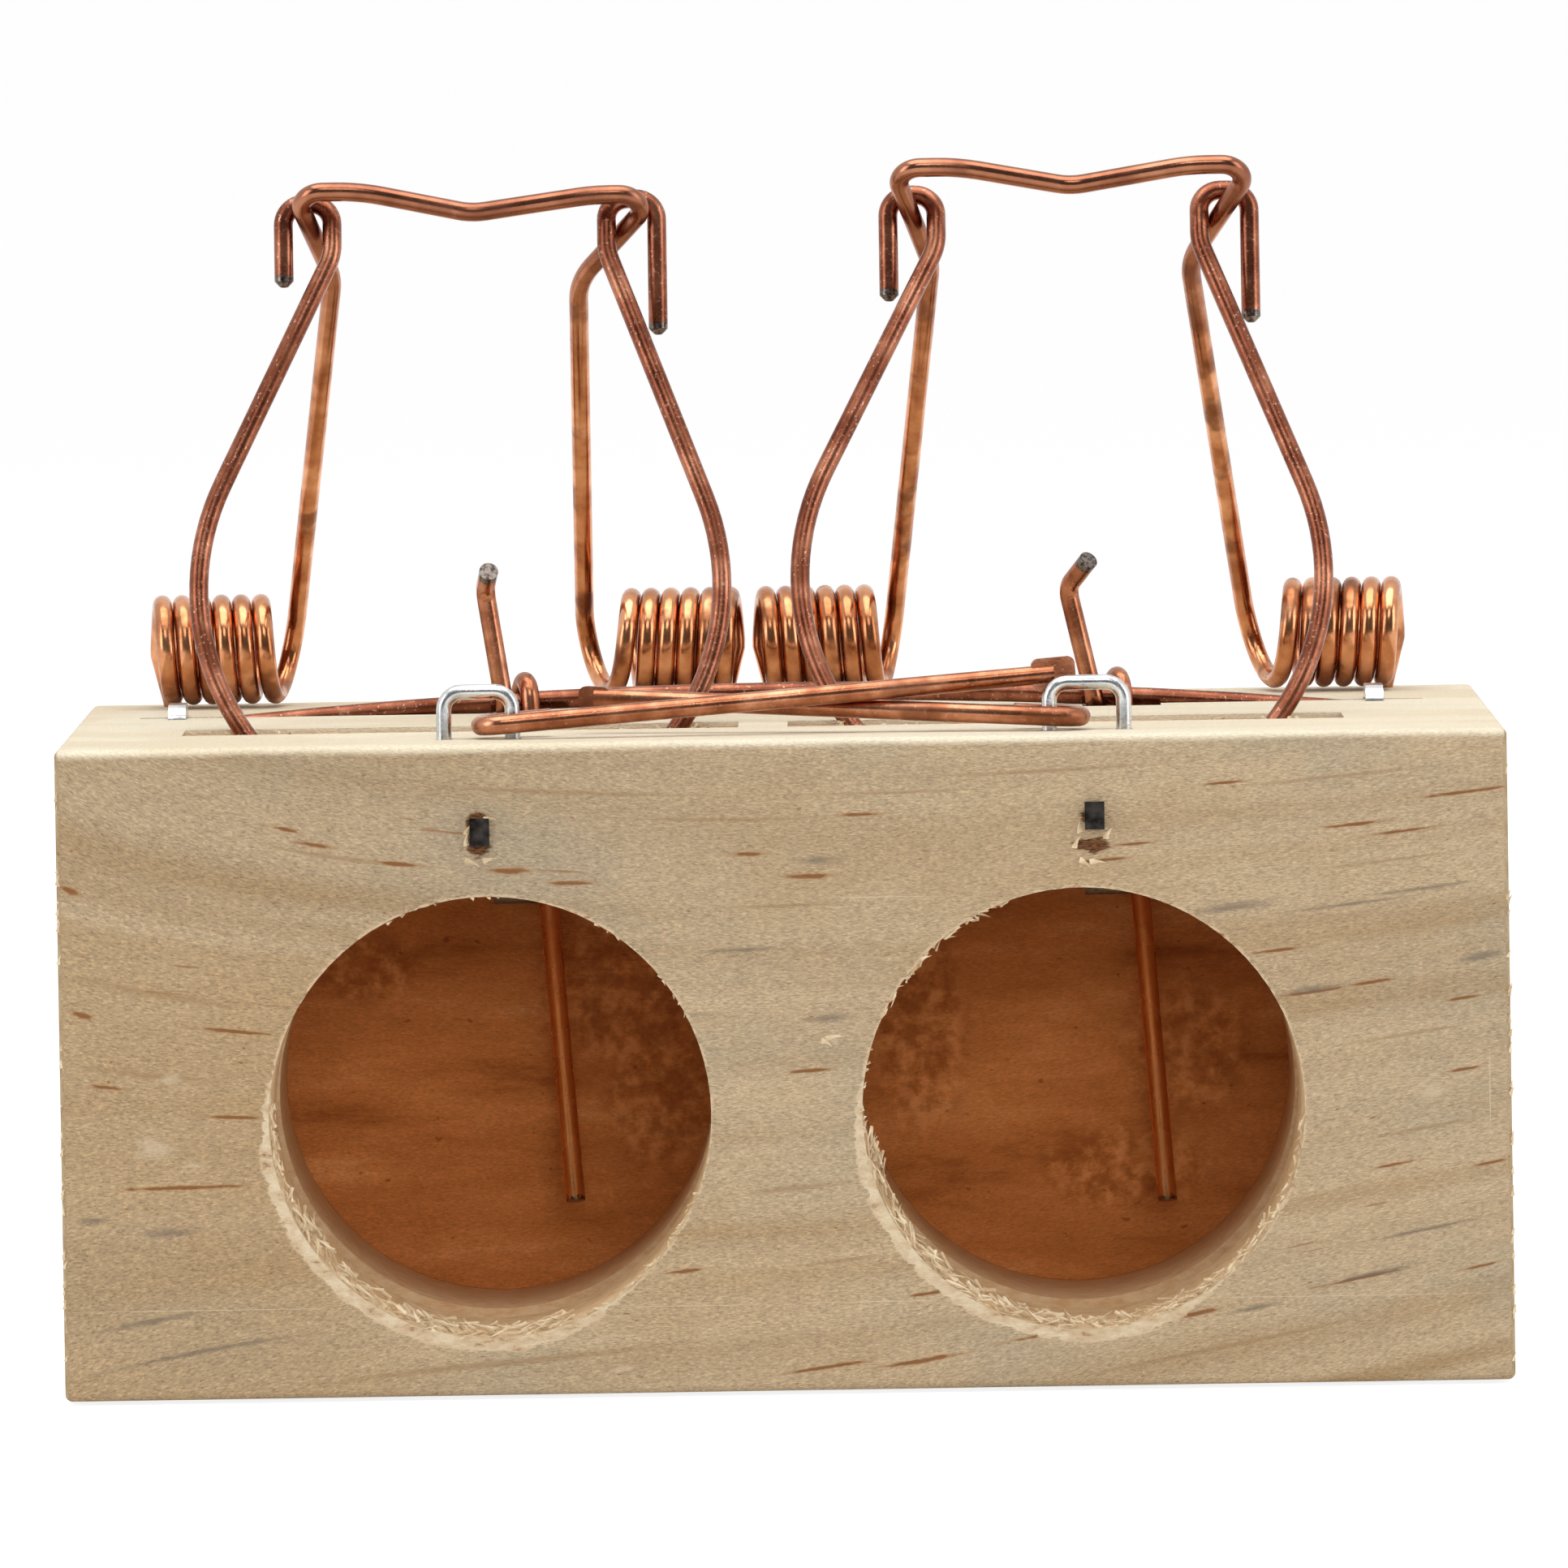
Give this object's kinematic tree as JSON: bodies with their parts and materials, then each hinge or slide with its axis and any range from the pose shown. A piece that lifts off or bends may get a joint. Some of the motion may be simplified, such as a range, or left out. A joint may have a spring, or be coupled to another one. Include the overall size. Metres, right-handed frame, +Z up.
{
  "type": "mouse trap",
  "caption": "Wooden block mouse trap with entry holes, sprung wire choker loops that rise through slots, trigger wires on a pivot wire, and loose lock bars.",
  "frame": {"origin": "middle of the block's underside", "axes": "+Z up, +X along the front face to the right as seen from the front, +Y from the front face to the back"},
  "size_m": [0.1, 0.0706, 0.0843],
  "materials": {
    "pine": "planed, unfinished",
    "coppered_wire": "copper-plated spring steel, tarnished",
    "galvanized_staple": "galvanized, bright",
    "brad_steel": "dull"
  },
  "bodies": {
    "block": {"wood_block": "pine", "trigger_pivot_wire": "coppered_wire", "left_bar_staple": "galvanized_staple", "right_bar_staple": "galvanized_staple", "left_pivot_staple": "galvanized_staple", "right_pivot_staple": "galvanized_staple", "left_loop_brad": "brad_steel", "right_loop_brad": "brad_steel", "left_unit_left_spring_coil": "coppered_wire", "left_unit_right_spring_coil": "coppered_wire", "right_unit_left_spring_coil": "coppered_wire", "right_unit_right_spring_coil": "coppered_wire"},
    "left_arms": {"left_arms_and_crossbar": "coppered_wire"},
    "left_choker": {"left_choker_loop": "coppered_wire"},
    "left_lock": {"left_lock_bar": "coppered_wire"},
    "left_trigger_wire": {"left_trigger": "coppered_wire"},
    "right_arms": {"right_arms_and_crossbar": "coppered_wire"},
    "right_choker": {"right_choker_loop": "coppered_wire"},
    "right_lock": {"right_lock_bar": "coppered_wire"},
    "right_trigger_wire": {"right_trigger": "coppered_wire"}
  },
  "joints": [
    {"name": "left_arms_swing", "type": "hinge", "parent": "block", "child": "left_arms", "pos_m": [-0.0215, 0.028, 0.0492], "axis": [1, 0, 0], "range_deg": [0, 52], "stiffness_Nm_per_rad": 0.52, "springref_deg": -28.65},
    {"name": "left_choker_turn", "type": "hinge", "parent": "left_arms", "child": "left_choker", "pos_m": [-0.0215, 0.00278, 0.08006], "axis": [1, 0, 0], "range_deg": [-31, 0]},
    {"name": "left_trigger_swing", "type": "hinge", "parent": "block", "child": "left_trigger_wire", "pos_m": [-0.0179, 0.0125, 0.04582], "axis": [0.9991, 0, 0.0419], "range_deg": [-12, 9]},
    {"name": "left_lock_lift", "type": "hinge", "parent": "block", "child": "left_lock", "pos_m": [-0.02073, -0.0277, 0.04593], "axis": [0, -1, 0], "range_deg": [0, 95]},
    {"name": "right_arms_swing", "type": "hinge", "parent": "block", "child": "right_arms", "pos_m": [0.0209, 0.028, 0.0492], "axis": [1, 0, 0], "range_deg": [0, 52], "stiffness_Nm_per_rad": 0.52, "springref_deg": -28.65},
    {"name": "right_choker_turn", "type": "hinge", "parent": "right_arms", "child": "right_choker", "pos_m": [0.0209, 0.0028, 0.08005], "axis": [1, 0, 0], "range_deg": [-31, 0]},
    {"name": "right_trigger_swing", "type": "hinge", "parent": "block", "child": "right_trigger_wire", "pos_m": [0.0242, 0.0125, 0.04551], "axis": [0.9984, 0, -0.0567], "range_deg": [-12, 9]},
    {"name": "right_lock_lift", "type": "hinge", "parent": "block", "child": "right_lock", "pos_m": [0.02082, -0.0277, 0.04593], "axis": [0, 1, 0], "range_deg": [0, 95]}
  ],
  "couplings": [
    {"joint": "left_choker_turn", "follows": "left_arms_swing", "ratio": -0.58},
    {"joint": "right_choker_turn", "follows": "right_arms_swing", "ratio": -0.58},
    {"joint": "right_lock_lift", "follows": "left_lock_lift", "ratio": 1}
  ]
}
